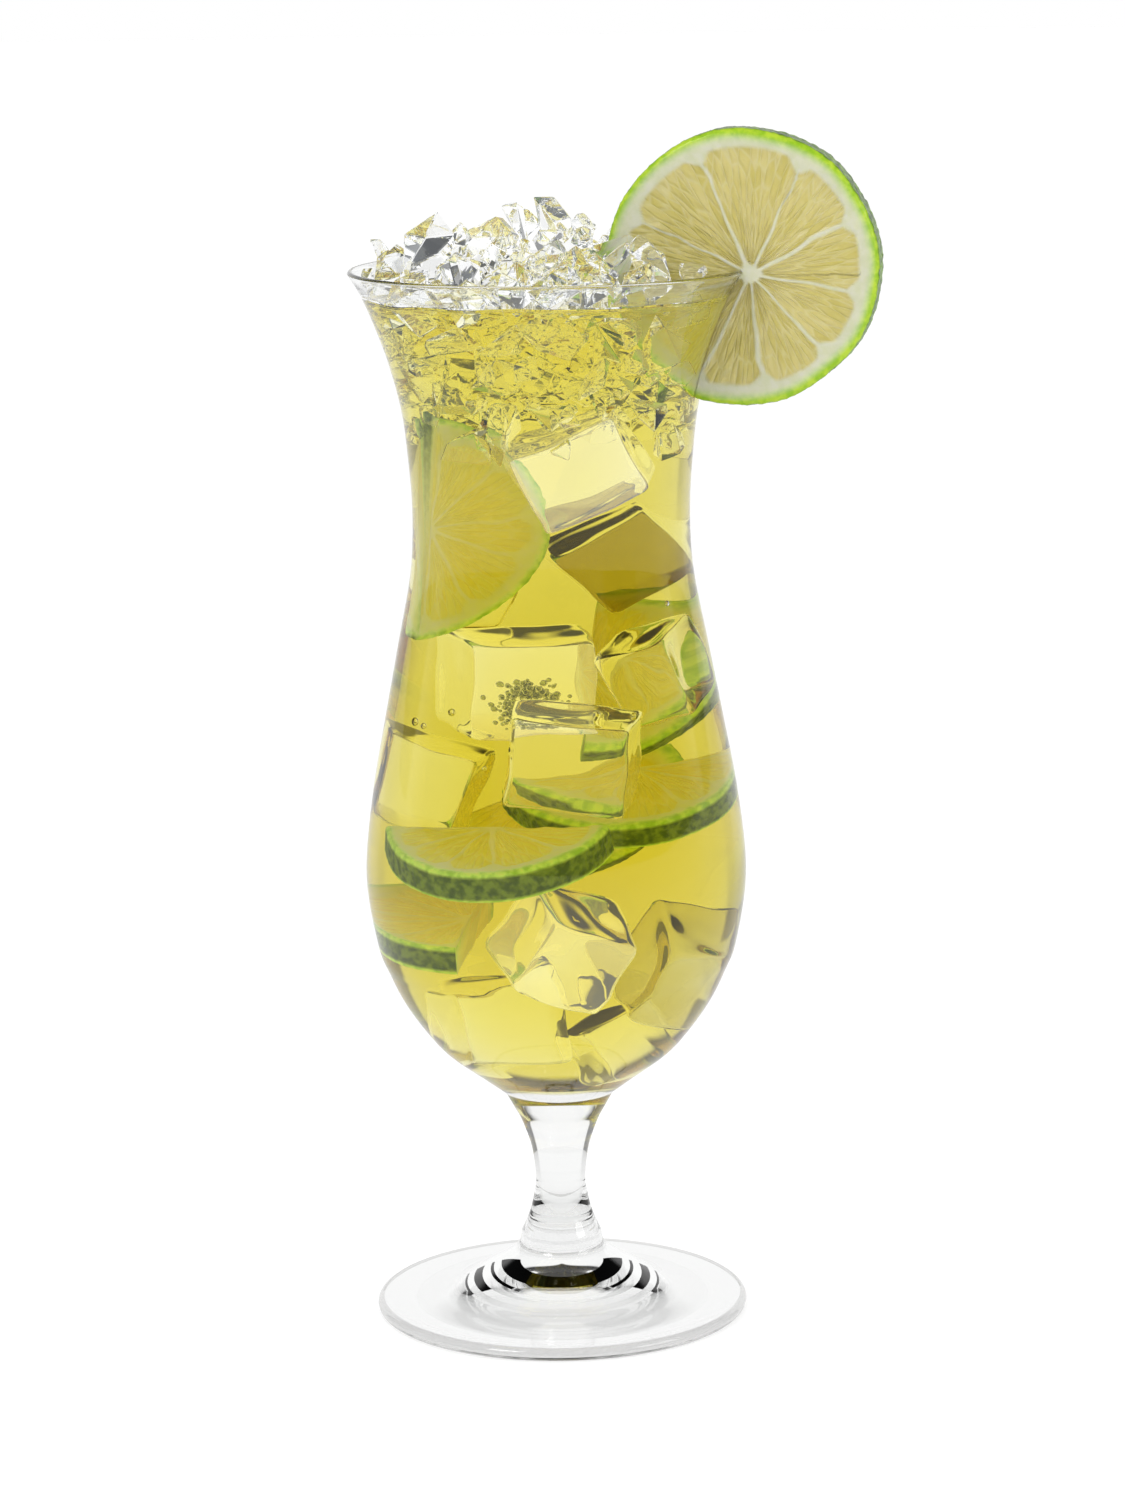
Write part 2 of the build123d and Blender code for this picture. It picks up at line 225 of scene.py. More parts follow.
def clear_solid(name, ior, tint, painted_glow_colour=CLEAR, glow=0.0):
    """A clear material that bends light, and glows a little all over: painted light for the light that
    scatters in it.
    """
    material, s = new_material(name)
    grain = s.node("ShaderNodeTexNoise", {"Scale": TINT_GRAIN, "Detail": 2.0})
    surface = s.node("ShaderNodeBsdfPrincipled", {
        "Base Color": s.mix(grain * 0.3, tint, tuple(c * 0.97 for c in tint)),
        "Roughness": 0.0, "IOR": ior, "Transmission Weight": 1.0,
        "Emission Color": (*painted_glow_colour, 1), "Emission Strength": glow})
    s.finish(surface)
    return material


def drink_material():
    """The drink: clear yellow-green liquid, whose open faces only end its colour."""
    material, s = new_material("lime_drink")
    liquid = s.node("ShaderNodeBsdfPrincipled", {
        "Base Color": WHITE, "Roughness": 0.0, "IOR": DRINK_IOR, "Transmission Weight": 1.0})
    open_face = s.node("ShaderNodeBsdfTransparent")
    surface = s.node("ShaderNodeMixShader", {0: s.attribute("open_face"), 1: liquid, 2: open_face})
    volume = s.node("ShaderNodeVolumeAbsorption", {"Color": DRINK_COLOUR, "Density": DRINK_DENSITY})
    s.finish(surface, volume)
    return material


def painted_shade_material():
    """Glass that lets light out but mirrors none back in, so that its hollow looks dark from a low side:
    painted shade standing in for a dark reflection.
    """
    material, s = new_material("painted_foot_shade")
    surface = s.node("ShaderNodeBsdfRefraction", {
        "Color": (0.98, 0.98, 0.98, 1), "Roughness": 0.0, "IOR": GLASS_IOR})
    s.finish(surface)
    return material


def lime_material(name):
    """Cut lime: juice sacs, membranes, pith and a dimpled peel, told apart by the mesh's own attributes; in
    the drink brighter, glowing and more lit through, as painted light.
    """
    material, s = new_material(name)
    pulp = s.attribute("pulp")
    outside = s.attribute("outside")
    place = s.node("ShaderNodeCombineXYZ", {
        "X": s.attribute("round_about"), "Y": s.attribute("along"), "Z": 0.0})
    gaps = s.node("ShaderNodeTexVoronoi", {"Vector": place, "Scale": 1.0}, feature="DISTANCE_TO_EDGE")
    tones = s.node("ShaderNodeTexVoronoi", {"Vector": place, "Scale": 1.0}, "Color", feature="F1")
    streaks = s.node("ShaderNodeTexNoise", {"Vector": place, "Scale": SAC_STREAKS, "Detail": 4.0})
    object_place = s.node("ShaderNodeTexCoord", output="Object")
    clouds = s.node("ShaderNodeTexNoise", {"Vector": object_place, "Scale": LIME_CLOUDS, "Detail": 2.0})
    mottle = s.node("ShaderNodeTexNoise", {"Vector": object_place, "Scale": LIME_MOTTLE, "Detail": 3.0})
    glands = s.node("ShaderNodeTexVoronoi", {"Vector": object_place, "Scale": PEEL_GLANDS}, feature="F1")
    tone = s.node("ShaderNodeSeparateColor", {"Color": tones}) * 0.3 + streaks * 0.5 + clouds * 0.5 - 0.25
    sunk = s.attribute("sunk")
    looks = []
    for shades in (DRY_LIME, WET_LIME_TINTED_AND_LIT):
        flesh = s.mix(tone.step(0.1, 0.75), *shades["flesh"])
        flesh = s.mix(gaps.step(0.0, 0.10), s.mix(0.35, flesh, shades["skin"]), flesh)
        white = s.mix(mottle.step(0.3, 0.7), *shades["pith"])
        rind = s.mix(mottle.step(0.35, 0.65), *shades["rind"])
        cut_rind = s.mix(mottle.step(0.3, 0.7), *shades["cut"])
        skin = s.mix(outside, cut_rind, rind)
        looks.append(s.mix(s.attribute("peel"), s.mix(pulp, white, flesh), skin))
    # A lime in the drink takes the brighter colours: the drink's tint and painted light
    colour = s.mix(sunk, *looks)
    height = pulp * (gaps.step(0.0, 0.25) * 0.25 + streaks * 0.25) + outside * glands * 0.5 + mottle * 0.1
    bump = s.node("ShaderNodeBump", {"Height": height, "Strength": 0.8, "Distance": 0.0010})
    # A lime in the drink glows with its own colour: painted light
    front = s.node("ShaderNodeBsdfPrincipled", {
        "Base Color": colour, "Roughness": 0.5 - pulp * 0.3, "Normal": bump, "IOR": 1.3,
        "Subsurface Weight": 0.3, "Subsurface Radius": (0.003, 0.003, 0.001), "Subsurface Scale": 1.0,
        "Coat Weight": 0.35 - sunk * 0.35, "Coat Roughness": 0.12,
        "Emission Color": s.mix(sunk, (0.0, 0.0, 0.0), colour), "Emission Strength": PAINTED_GLOW_IN_DRINK})
    through = s.node("ShaderNodeBsdfTranslucent", {"Color": LIME_THROUGH, "Normal": bump})
    # In the drink more of a lime is lit through: painted backlight
    lit_through = (0.3 + sunk * 0.25) * (1 - s.attribute("peel") * 0.95)
    s.finish(s.node("ShaderNodeMixShader", {0: lit_through, 1: front, 2: through}))
    return material


def face_outward(bm):
    """Turn every face of a closed mesh outward."""
    bm.normal_update()
    bmesh.ops.recalc_face_normals(bm, faces=bm.faces)
    if bm.calc_volume(signed=True) < 0:
        bmesh.ops.reverse_faces(bm, faces=bm.faces)


def finish_mesh(name, bm, material, smooth=True):
    """Turn a bmesh into a named object with a material."""
    mesh = bpy.data.meshes.new(name)
    for face in bm.faces:
        face.smooth = smooth
    bm.to_mesh(mesh)
    bm.free()
    mesh.materials.append(material)
    piece = bpy.data.objects.new(name, mesh)
    bpy.context.scene.collection.objects.link(piece)
    return piece


def curve_through(points, steps=6):
    """A smooth line through outline points (Catmull-Rom), in metres."""
    line = []
    ends = [points[0], *points, points[-1]]
    for before, low, high, after in zip(ends, ends[1:], ends[2:], ends[3:]):
        for k in range(steps):
            t = k / steps
            point = []
            for axis in (0, 1):
                a, b, c, d = before[axis], low[axis], high[axis], after[axis]
                point.append(0.5 * (2 * b + (c - a) * t + (2 * a - 5 * b + 4 * c - d) * t * t
                                    + (3 * b - a - 3 * c + d) * t**3))
            line.append((point[0] * MM, point[1] * MM))
    line.append((points[-1][0] * MM, points[-1][1] * MM))
    return line


def turn_outline(bm, outline):
    """Spin an outline of (radius, height) about the glass axis into a closed skin."""
    chain = [bm.verts.new((radius, 0, height)) for radius, height in outline]
    edges = [bm.edges.new(pair) for pair in zip(chain, chain[1:])]
    bmesh.ops.spin(bm, geom=chain + edges, cent=(0, 0, 0), axis=(0, 0, 1), angle=math.tau,
                   steps=GLASS_TURNS, use_merge=True)
    bmesh.ops.remove_doubles(bm, verts=bm.verts, dist=OUTLINE_WELD)
    face_outward(bm)


def half_round(centre_radius, centre_height, size, start, end, steps=8):
    """A small arc of an outline, angles in degrees."""
    angles = [math.radians(start + (end - start) * k / steps) for k in range(1, steps)]
    return [((centre_radius + size * math.cos(a)) * MM, (centre_height + size * math.sin(a)) * MM)
            for a in angles]


def make_glass(in_air, at_drink, shade, edge):
    """Bowl, stem and foot as one skin: under the foot, up the outside, over the lip and down the inside."""
    outline = curve_through(FOOT_HOLLOW[::-1], steps=16)
    outline += [(FOOT_TOP[-1][0] * MM, 0.0)]
    outline += half_round(FOOT_TOP[-1][0], FOOT_ROUND, FOOT_ROUND, -90, 90)
    outline += curve_through(FOOT_TOP[::-1])
    outline += curve_through(STEM[::-1])[1:]
    outline += curve_through(OUTSIDE)[1:]
    outline += half_round(OUTSIDE[-1][0] - RIM_ROUND, OUTSIDE[-1][1], RIM_ROUND, 0, 180)
    outline += curve_through(INSIDE[::-1])
    bm = bmesh.new()
    turn_outline(bm, outline)
    for face in bm.faces:
        spot = face.calc_center_median()
        inward = Vector((spot.x, spot.y, 0)).dot(face.normal) < 0 or face.normal.z > 0.99
        in_bowl = spot.z > (INSIDE[0][1] - 1) * MM and inward
        face.material_index = WETTED if in_bowl and spot.z < DRINK_TOP * MM else IN_AIR
        radius = math.hypot(spot.x, spot.y) / MM
        # Painted shade: rings of the hollow, mostly on the camera's side, mirror no light back and so look
        # dark
        in_ring = any(low < radius < high for low, high in SHADE_RINGS)
        in_hollow = face.normal.z < 0 and spot.z < FOOT_HOLLOW[-1][1] * MM
        if in_ring and in_hollow and spot.y < SHADE_REACH * radius * MM:
            face.material_index = SHADED
        # The foot's rounded rim gets grey glass: painted shade for the dark lines along its edge
        if spot.z < 2 * FOOT_ROUND * MM and radius > FOOT_TOP[-1][0] + FOOT_EDGE:
            face.material_index = EDGE
    glass = finish_mesh("hurricane_glass", bm, in_air)
    for material in (at_drink, shade, edge):
        glass.data.materials.append(material)
    return glass


def inside_radius(height):
    """The bowl's inner radius at a height, in millimetres."""
    for (low_radius, low), (high_radius, high) in zip(INSIDE, INSIDE[1:]):
        if low <= height <= high:
            return low_radius + (high_radius - low_radius) * (height - low) / (high - low)
    return INSIDE[-1][0]


def grown(source, amount):
    """A copy of a mesh with every vertex moved out along its normal."""
    bm = bmesh.new()
    bm.from_mesh(source)
    bm.normal_update()
    moves = [(vert, vert.normal * amount) for vert in bm.verts]
    for vert, move in moves:
        vert.co += move
    return bm


def make_drink(material, hollows):
    """The liquid: open faces along the wall and round each wet cube, and a bright surface on top."""
    wall = [(radius - DRINK_OFF_WALL, height) for radius, height in INSIDE if height < DRINK_TOP - 2]
    wall[0] = (0.0, INSIDE[0][1] + DRINK_OFF_WALL)
    top_radius = inside_radius(DRINK_TOP) - DRINK_OFF_WALL
    outline = curve_through([*wall, (top_radius, DRINK_TOP)])
    outline += [((top_radius - inward) * MM, (DRINK_TOP - down) * MM) for inward, down in DRINK_DIPS]
    outline += [(0.0, (DRINK_TOP - DRINK_DIPS[-1][1]) * MM)]
    bm = bmesh.new()
    turn_outline(bm, outline)
    for vert in bm.verts:
        if vert.co.z > (DRINK_TOP - RIPPLED_DEPTH) * MM:
            vert.co.z += DRINK_RIPPLE * noise.noise(Vector((vert.co.x, vert.co.y, 0)) * 75)
    open_faces = bm.faces.layers.float.new("open_face")
    for face in bm.faces:
        if face.calc_center_median().z < (DRINK_TOP - SURFACE_DEPTH) * MM and face.normal.z < 0.9:
            face[open_faces] = 1.0
    for hollow in hollows:
        inner = grown(hollow.data, HOLLOW_GAP)
        bmesh.ops.reverse_faces(inner, faces=inner.faces)
        mesh = bpy.data.meshes.new("hollow")
        inner.to_mesh(mesh)
        inner.free()
        known = len(bm.faces)
        bm.from_mesh(mesh)
        bpy.data.meshes.remove(mesh)
        bm.faces.ensure_lookup_table()
        open_faces = bm.faces.layers.float["open_face"]
        for face in bm.faces[known:]:
            face[open_faces] = 1.0
    return finish_mesh("lime_drink", bm, material)


def cad_bmesh(node):
    """A merged copy of a solid's mesh."""
    bm = bmesh.new()
    bm.from_mesh(frame["nodes"][node].data)
    bmesh.ops.remove_doubles(bm, verts=bm.verts, dist=CAD_WELD)
    bm.normal_update()
    return bm


def box_frame(node):
    """Where a cube lies: its middle, its three directions and its half sides, read from its solid."""
    bm = cad_bmesh(node)
    faces = sorted(bm.faces, key=lambda face: -face.calc_area())
    first = faces[0].normal.copy()
    second = next(face.normal for face in faces if abs(face.normal.dot(first)) < 0.3)
    second = (second - first * second.dot(first)).normalized()
    axes = [first, second, first.cross(second)]
    spans = []
    for axis in axes:
        reach = [vert.co.dot(axis) for vert in bm.verts]
        spans.append((min(reach), max(reach)))
    bm.free()
    middle = sum((axis * (low + high) / 2 for axis, (low, high) in zip(axes, spans)), Vector())
    return middle, axes, [(high - low) / 2 for low, high in spans]


# Ice cubes: in metres their rounding, the dish of their faces and their unevenness, and the palest ones,
# paled by a stronger painted glow
CUBE_ROUNDING = 0.0021
CUBE_DISH = 0.0009
CUBE_UNEVENNESS = 0.0006
CUBE_CUTS = 15
PALE_CUBES = ("ice_cube_centre", "ice_cube_lower_front", "ice_cube_top_front")


def make_cube(node, material):
    """A moulded ice cube: rounded, faintly dished and uneven, where its solid lies."""
    middle, axes, halves = box_frame(node)
    bm = bmesh.new()
    bmesh.ops.create_cube(bm, size=2.0)
    bmesh.ops.subdivide_edges(bm, edges=bm.edges, cuts=CUBE_CUTS, use_grid_fill=True)
    for vert in bm.verts:
        share = vert.co.copy()
        point = Vector(share[k] * halves[k] for k in range(3))
        reach = [half - CUBE_ROUNDING for half in halves]
        core = Vector(max(-reach[k], min(reach[k], point[k])) for k in range(3))
        out = point - core
        way = out.normalized() if out.length > 0 else Vector()
        point = core + way * CUBE_ROUNDING
        flat = sorted(1 - abs(v) ** 4 for v in share)
        point -= way * CUBE_DISH * flat[1] * flat[2]
        world = middle + sum((axes[k] * point[k] for k in range(3)), Vector())
        wobble = noise.noise_vector(world * 140) * CUBE_UNEVENNESS
        vert.co = world + wobble
    face_outward(bm)
    piece = finish_mesh(node + "_moulded", bm, material)
    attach(piece, GLASS_BODY)
    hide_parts(node)
    return piece


def rand_vector(rng):
    """A vector with three parts between -1 and 1."""
    return Vector((rng.uniform(-1, 1), rng.uniform(-1, 1), rng.uniform(-1, 1)))


def lime_frame(name):
    """The plane of a half slice, read from its pith and peel."""
    bm = cad_bmesh(name + "_pith")

    def facing(face):
        return tuple(round(abs(v), 2) for v in face.normal)

    areas = {}
    for face in bm.faces:
        areas[facing(face)] = areas.get(facing(face), 0) + face.calc_area()
    widest = max(areas, key=areas.get)
    normal = next(face.normal.copy() for face in bm.faces if facing(face) == widest)
    if normal.y > 0:
        normal = -normal
    bm.free()
    bm = cad_bmesh(name + "_peel")
    points = [vert.co.copy() for vert in bm.verts]
    bm.free()
    flats = [point - normal * point.dot(normal) for point in points]
    ends = max(((a, b) for a in flats for b in flats), key=lambda pair: (pair[0] - pair[1]).length)
    chord = (ends[1] - ends[0]).normalized()
    up = normal.cross(chord)
    middle = (ends[0] + ends[1]) / 2
    if sum((point - middle).dot(up) for point in flats) < 0:
        chord, up = -chord, -up
    depth = [point.dot(normal) for point in points]
    centre = middle + normal * (min(depth) + max(depth)) / 2
    return centre, chord, up, normal, (ends[1] - ends[0]).length / 2, max(depth) - min(depth)


# Cut limes, in metres: how deep the peel goes and how its colour fades inward, the core and its fading,
# the membranes, the juice sacs and how they sink in, and the rounding of the edge
PEEL = 0.0010
PEEL_SHADE = 0.0030
CORE = 0.0020
CORE_FADE = 0.0009
MEMBRANE = 0.00026
SAC_WIDTH = 0.0011
SAC_LENGTH = 0.0060
SAC_RELIEF = 0.0003
LIME_ROUNDING = 0.0012

# Pith reaches this much further in beside a membrane, this near to it, and fades over this width
WEDGE_DEPTH = 0.0020
WEDGE_WIDTH = 0.0030
PITH_FADE = 0.0005

# Shares of a lime's radius: its pith, the lumps of its outline and the pits of its peel
PITH_SHARE = 0.105
LUMP = 0.026
GLAND_BUMP = 0.008

# Membranes of a half slice's whole lime, and how unevenly and how bent they run
MEMBRANES = 10
MEMBRANE_STRAY = 0.22
MEMBRANE_BEND = 0.06


def smooth(low, high, value):
    """0 below low, 1 above high, smooth between."""
    share = max(0.0, min(1.0, (value - low) / (high - low)))
    return share * share * (3 - 2 * share)


def lime_section(radius, half, edge, rings):
    """Half the outline of a cut disc: over one face, round its edges and back over the other face."""
    reach = radius - edge
    section = [(radius * k / rings, half) for k in range(rings) if radius * k / rings < reach]
    section += [(reach + edge * math.sin(a), half - edge + edge * math.cos(a))
                for a in (math.radians(v) for v in range(0, 91, 15))]
    section += [(radius, (half - edge) * (1 - k / 3)) for k in range(1, 6)]
    return section + [(r, -z) for r, z in section[::-1] if z > half - edge - 0.00001]


def make_lime(name, frame_of, sweep, material, rng, rings, turns, starts=None, core_shift=(0, 0),
              shrink=0.6):
    """A cut lime: a spun section whose faces rise and fall over sacs, membranes and pith."""
    centre, across, up, normal, radius, thickness = frame_of
    half = thickness / 2
    edge = min(LIME_ROUNDING, half * 0.4)
    bm = bmesh.new()
    chain = [bm.verts.new((r, 0, z)) for r, z in lime_section(radius, half, edge, rings)]
    edges = [bm.edges.new(pair) for pair in zip(chain, chain[1:])]
    whole = sweep == math.tau
    bmesh.ops.spin(bm, geom=chain + edges, cent=(0, 0, 0), axis=(0, 0, 1), angle=sweep, steps=turns,
                   use_merge=whole)
    bmesh.ops.remove_doubles(bm, verts=bm.verts, dist=LIME_WELD)
    if not whole:
        bmesh.ops.contextual_create(bm, geom=[e for e in bm.edges if e.is_boundary])
    starts = starts or [math.tau * (k + rng.uniform(-MEMBRANE_STRAY, MEMBRANE_STRAY)) / MEMBRANES
                        for k in range(MEMBRANES)]
    keys = ("pulp", "peel", "along", "round_about", "outside")
    layers = [bm.verts.layers.float.new(key) for key in keys]
    pulp_key, peel_key, along_key, round_key, outside_key = layers
    seed = Vector((rng.uniform(0, 50), rng.uniform(0, 50), 0))
    for vert in bm.verts:
        flat = Vector((vert.co.x, vert.co.y, 0)) - Vector((*core_shift, 0))
        r = flat.length
        angle = math.atan2(flat.y, flat.x) % math.tau
        rim_r = Vector((vert.co.x, vert.co.y)).length
        bend = MEMBRANE_BEND * noise.noise(Vector((r * 160, angle, 5)) + seed)
        turn_to = [abs((angle + bend - start + math.pi) % math.tau - math.pi) for start in starts]
        gap = min(turn_to) * r
        cos, sin = math.cos(angle), math.sin(angle)
        wave = noise.noise(Vector((cos * 2, sin * 2, r * 90)) + seed)
        pith_wave = noise.noise(Vector((cos * 1.6, sin * 1.6, 9)) + seed)
        pith = PITH_SHARE * radius * (1 + 0.3 * pith_wave)
        reach = radius - PEEL - pith - WEDGE_DEPTH * (1 - smooth(0.0, WEDGE_WIDTH, gap))
        in_reach = 1 - smooth(reach - PITH_FADE, reach + PITH_FADE, rim_r)
        core = CORE * (0.8 + 0.5 * wave)
        off_core = smooth(core, core + CORE_FADE, r)
        width = MEMBRANE * (1 + 0.9 * wave)
        pulp = in_reach * off_core * smooth(width * 0.5, width * 2.0, gap)
        on_face = abs(vert.co.z) > half - edge * 0.5 and rim_r < radius - edge * 0.5
        vert[pulp_key] = pulp
        vert[peel_key] = smooth(radius - PEEL_SHADE, radius - PEEL * 0.6, rim_r + 0.0005 * wave)
        on_side = smooth(radius - edge, radius - edge * 0.5, rim_r)
        vert[outside_key] = on_side * (1 - smooth(half - edge, half - edge * 0.4, abs(vert.co.z)))
        vert[along_key] = r / SAC_LENGTH
        vert[round_key] = angle * radius * 0.6 / SAC_WIDTH
        way = Vector((cos, sin, 0))
        if on_face:
            side = 1 if vert.co.z > 0 else -1
            relief = noise.noise(Vector((angle * 16, r * 380, side * 3)) + seed)
            vert.co.z += side * pulp * (SAC_RELIEF * relief - SAC_RELIEF)
        bump = noise.noise(Vector((way.x * 26, way.y * 26, vert.co.z * 1100)) + seed)
        lump = noise.noise(Vector((way.x * 1.9, way.y * 1.9, 20)) + seed)
        scale = 1 + LUMP * (lump * smooth(0, radius, rim_r) - shrink)
        scale += GLAND_BUMP * (bump - 0.6) * smooth(radius - edge, radius - edge * 0.3, rim_r)
        vert.co.x *= scale
        vert.co.y *= scale
    bmesh.ops.transform(bm, matrix=place_matrix(centre, across, up, normal), verts=bm.verts)
    sunk_key = bm.verts.layers.float.new("sunk")
    for vert in bm.verts:
        height = vert.co.z / MM
        in_bowl = math.hypot(vert.co.x, vert.co.y) < inside_radius(height) * MM
        vert[sunk_key] = 1.0 - smooth(DRINK_TOP - 2, DRINK_TOP + 2, height) if in_bowl else 0.0
    face_outward(bm)
    return finish_mesh(name, bm, material)


def place_matrix(centre, across, up, normal):
    """From a piece's own axes to the frame."""
    rows = [(across[k], up[k], normal[k], centre[k]) for k in range(3)]
    return Matrix((*rows, (0, 0, 0, 1)))


# Crushed ice: chips thrown into the cap where they miss the wall, the cubes, the limes and each other.
# Sizes and heights are in metres, the gap to the wall is in millimetres.
CHIP_SIZES = (0.0026, 0.0068)
CHIP_SPACING = 0.76
CHIP_TRIES = 34000
CHIP_OFF_WALL = 0.12
CHIP_FLOOR = 0.181
CHIP_CEILING = 0.224
CHIP_EDGE = 0.00018
CHIP_FLAT = math.radians(9)
CHIP_CORNERS = (8, 11)
CHIP_SPREADS = ((0.72, 1.15), (0.72, 1.15), (0.6, 1.0))

# How far a chip keeps away, as shares of its size
CHIP_TO_WALL = 0.62
CHIP_TO_TOP = 0.6
CHIP_TO_CUBE = 0.7
CHIP_TO_LIME_EDGE = 0.8
CHIP_TO_LIME_FACE = 0.85

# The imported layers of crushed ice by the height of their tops, and the form of the heap
CHIP_LEVELS = {"crushed_ice_lower": 0.1996, "crushed_ice_middle": 0.2083, "crushed_ice_rim": 0.217,
               "crushed_ice_heap": 1.0}
HEAP_RISE = 0.0095
PEAKS = [
    ((0.0010, -0.004, 0.2240), 0.0078), ((-0.0240, -0.004, 0.2210), 0.0070),
    ((-0.0110, -0.007, 0.2210), 0.0070), ((0.0030, -0.018, 0.2160), 0.0062),
    ((0.0200, -0.022, 0.2165), 0.0062), ((-0.0330, 0.003, 0.2165), 0.0056),
    ((0.0290, -0.017, 0.2150), 0.0050), ((-0.0060, 0.008, 0.2215), 0.0068),
    ((0.0140, -0.008, 0.2190), 0.0066), ((-0.0170, -0.020, 0.2160), 0.0060),
    ((0.0090, -0.027, 0.2140), 0.0056), ((-0.0060, -0.028, 0.2140), 0.0054),
]


def heap_top(point):
    """How high the heap of ice stands over a point."""
    share = min(1.0, math.hypot(point.x, point.y) / (OUTSIDE[-1][0] * MM))
    lump = noise.noise(Vector((point.x, point.y, 0)) * 90)
    return OUTSIDE[-1][1] * MM + HEAP_RISE * (1 - share**2.5) + 0.0015 * lump


def chip_fits(point, size, blocks):
    """Whether a chip clears the wall and every cube and lime."""
    radius = math.hypot(point.x, point.y)
    height = point.z / MM
    if radius + size * CHIP_TO_WALL > (inside_radius(min(height, INSIDE[-1][1])) - 0.2) * MM:
        return False
    if point.z + size * CHIP_TO_TOP > heap_top(point) + 0.001:
        return False
    for middle, axes, halves, disc in blocks:
        away = [(point - middle).dot(axis) for axis in axes]
        if disc:
            near = math.hypot(away[0], away[1]) < halves[0] + size * CHIP_TO_LIME_EDGE
            near = near and abs(away[2]) < halves[2] + size * CHIP_TO_LIME_FACE
            near = near and away[1] > -halves[1] - size * CHIP_TO_LIME_EDGE
        else:
            near = all(abs(v) < h + size * CHIP_TO_CUBE for v, h in zip(away, halves))
        if near:
            return False
    return True


def inside_wall(point):
    """The point, or the nearest one beside it that is inside the bowl."""
    if point.z > INSIDE[-1][1] * MM:
        return point
    reach = (inside_radius(point.z / MM) - CHIP_OFF_WALL) * MM
    radius = math.hypot(point.x, point.y)
    if radius <= reach:
        return point
    return Vector((point.x * reach / radius, point.y * reach / radius, point.z))


def throw_chips(rng, blocks):
    """Places and sizes of the chips: the heap's peaks first, then ever smaller ones."""
    chips = []
    grid = {}
    step = CHIP_SIZES[1] * 2.0

    def cell(point):
        return tuple(int(v // step) for v in point)

    def clear(point, size):
        home = cell(point)
        for shift in itertools.product((-1, 0, 1), repeat=3):
            for other, other_size in grid.get(tuple(map(sum, zip(home, shift))), ()):
                if (other - point).length < CHIP_SPACING * (size + other_size):
                    return False
        return True

    def keep(point, size):
        chips.append((point, size))
        grid.setdefault(cell(point), []).append((point, size))

    for point, size in PEAKS:
        keep(Vector(point), size)
    reach = INSIDE[-1][0] * MM
    for attempt in range(CHIP_TRIES):
        share = attempt / CHIP_TRIES
        smaller = (CHIP_SIZES[0] - CHIP_SIZES[1]) * min(1.0, share * 1.4)
        size = CHIP_SIZES[1] + smaller * rng.uniform(0.75, 1.0)
        point = Vector((rng.uniform(-reach, reach), rng.uniform(-reach, reach),
                        rng.uniform(CHIP_FLOOR, CHIP_CEILING)))
        if chip_fits(point, size, blocks) and clear(point, size):
            keep(point, size)
    return chips


def make_chips(rng, blocks, wet, dry):
    """The crushed ice, one piece for each packed layer of it."""
    layers = {name: bmesh.new() for name in CHIP_LEVELS}
    for point, size in throw_chips(rng, blocks):
        bit = bmesh.new()
        spread = Vector(rng.uniform(*limits) for limits in CHIP_SPREADS)
        turn = Matrix.Rotation(rng.uniform(0, math.tau), 3, rand_vector(rng).normalized())
        for _ in range(rng.randint(*CHIP_CORNERS)):
            way = rand_vector(rng).normalized()
            corner = point + turn @ Vector(way[k] * spread[k] * size for k in range(3))
            bit.verts.new(inside_wall(corner))
        bmesh.ops.convex_hull(bit, input=bit.verts)
        bmesh.ops.delete(bit, geom=[vert for vert in bit.verts if not vert.link_faces], context="VERTS")
        bmesh.ops.dissolve_limit(bit, angle_limit=CHIP_FLAT, verts=bit.verts, edges=bit.edges)
        bmesh.ops.bevel(bit, geom=bit.edges, offset=CHIP_EDGE, affect="EDGES", segments=1, profile=0.5,
                        material=-1)
        face_outward(bit)
        index = 0 if point.z < (DRINK_TOP - 1) * MM else 1
        for face in bit.faces:
            face.material_index = index
        mesh = bpy.data.meshes.new("chip")
        bit.to_mesh(mesh)
        bit.free()
        name = next(name for name, level in CHIP_LEVELS.items() if point.z < level)
        layers[name].from_mesh(mesh)
        bpy.data.meshes.remove(mesh)
    for name, bm in layers.items():
        piece = finish_mesh(name + "_chips", bm, wet, smooth=False)
        piece.data.materials.append(dry)
        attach(piece, GLASS_BODY)
        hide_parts(name)


# Bubbles: single ones in the drink, and a cloud of fine ones shut in the middle cube
BUBBLES = [
    ((-0.0262, -0.015, 0.1262), 0.0009), ((-0.0243, -0.016, 0.1255), 0.0007),
    ((-0.0190, -0.020, 0.1290), 0.0008), ((0.0150, -0.024, 0.1285), 0.0008),
    ((-0.0128, -0.022, 0.1180), 0.0005), ((0.0225, -0.018, 0.1500), 0.0006),
]
CLOUD_MIDDLE = (-0.0033, -0.001, 0.1262)
CLOUD_RADIUS = 0.0034
CLOUD_SPREAD = 0.0012
CLOUD_FLATNESS = 0.3
CLOUD_SIZES = (0.00025, 0.0007)
CLOUD_COUNT = 240


def make_bubbles(name, spots, material):
    """Round bubbles in one piece, from their places and radii."""
    bm = bmesh.new()
    for point, radius in spots:
        bmesh.ops.create_icosphere(bm, subdivisions=2, radius=radius, matrix=Matrix.Translation(point))
    piece = finish_mesh(name, bm, material)
    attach(piece, GLASS_BODY)


